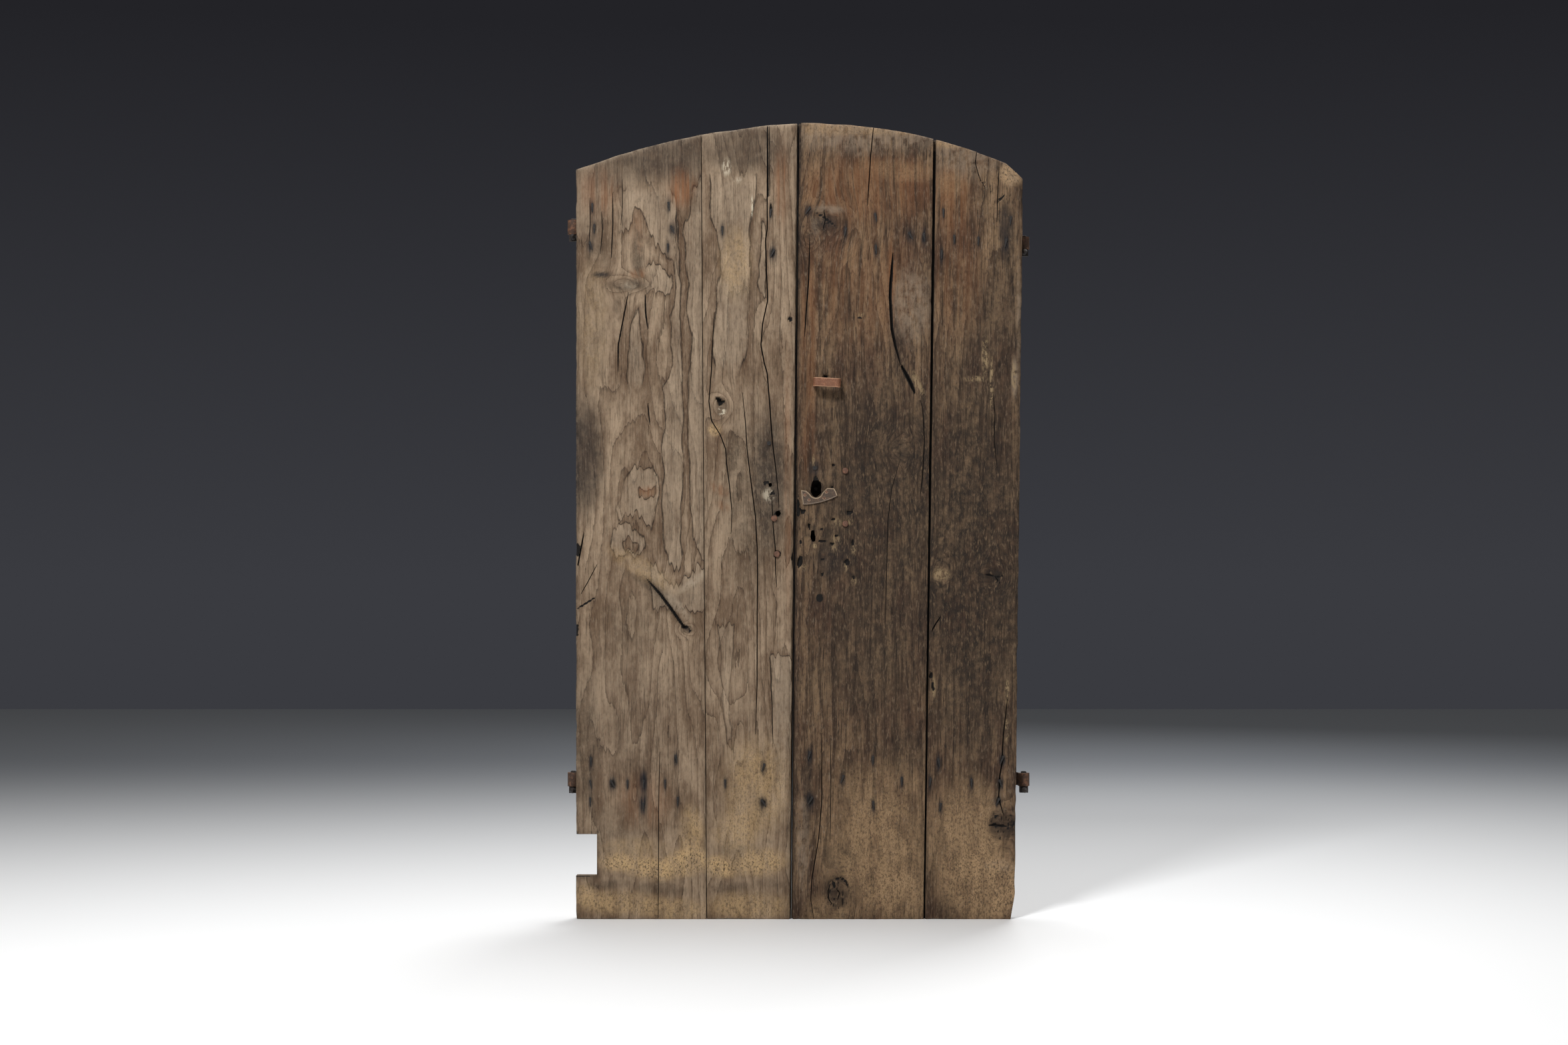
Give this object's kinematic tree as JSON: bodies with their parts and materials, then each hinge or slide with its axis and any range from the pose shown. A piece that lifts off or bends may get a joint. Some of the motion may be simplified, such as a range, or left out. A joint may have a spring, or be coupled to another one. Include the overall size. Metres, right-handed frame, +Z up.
{
  "type": "arched double plank door",
  "caption": "Weathered arched double door: plank leaves on battens and strap hinges that swing on pintles, with a rim lock, a bent-strap pull and a broken keyhole plate.",
  "frame": {"origin": "middle of the closed door at the foot of its planks", "axes": "+Z up, +Y from the face to the back, +X across to the right leaf"},
  "size_m": [1.11, 0.11, 1.9],
  "materials": {
    "left_oak": "bare, grey and weathered",
    "right_oak": "bare, brown and worn",
    "batten_oak": "bare, sawn",
    "rusted_hinge_iron": "rusted wrought iron",
    "dark_nail_iron": "blackened wrought iron",
    "lock_iron": "dark rusted sheet iron",
    "stud_iron": "brown rusted iron",
    "rusted_pull_iron": "copper-brown rust, rubbed",
    "rubbed_plate_iron": "thin sheet iron, rubbed"
  },
  "bodies": {
    "pintles": {"left_upper_pintle": "rusted_hinge_iron", "left_lower_pintle": "rusted_hinge_iron", "right_upper_pintle": "rusted_hinge_iron", "right_lower_pintle": "rusted_hinge_iron"},
    "left_leaf": {"left_upper_batten": "batten_oak", "left_upper_hinge_strap": "rusted_hinge_iron", "left_lower_batten": "batten_oak", "left_lower_hinge_strap": "rusted_hinge_iron", "left_batten_nails": "dark_nail_iron", "left_strap_nails": "dark_nail_iron", "left_stray_nail": "dark_nail_iron", "left_outer_plank": "left_oak", "left_inner_plank": "left_oak", "lock_keeper": "lock_iron", "keeper_studs": "stud_iron"},
    "right_leaf": {"right_upper_batten": "batten_oak", "right_upper_hinge_strap": "rusted_hinge_iron", "right_lower_batten": "batten_oak", "right_lower_hinge_strap": "rusted_hinge_iron", "right_batten_nails": "dark_nail_iron", "right_strap_nails": "dark_nail_iron", "right_stray_nail": "dark_nail_iron", "right_inner_plank": "right_oak", "right_outer_plank": "right_oak", "lock_case": "lock_iron", "bolt_guides": "lock_iron", "key_post": "lock_iron", "bolt_spring": "lock_iron", "lock_studs": "stud_iron", "keyhole_plate": "rubbed_plate_iron", "plate_nails": "stud_iron", "pull_handle": "rusted_pull_iron"},
    "lock_bolt": {"lock_bolt": "lock_iron"}
  },
  "joints": [
    {"name": "left_leaf_swing", "type": "hinge", "parent": "pintles", "child": "left_leaf", "pos_m": [-0.541, 0.034, 0], "axis": [0, 0, 1], "range_deg": [0, 110]},
    {"name": "right_leaf_swing", "type": "hinge", "parent": "pintles", "child": "right_leaf", "pos_m": [0.541, 0.034, 0], "axis": [0, 0, -1], "range_deg": [0, 110]},
    {"name": "bolt_throw", "type": "slide", "parent": "right_leaf", "child": "lock_bolt", "axis": [-1, 0, 0], "range_m": [0, 0.034]}
  ]
}
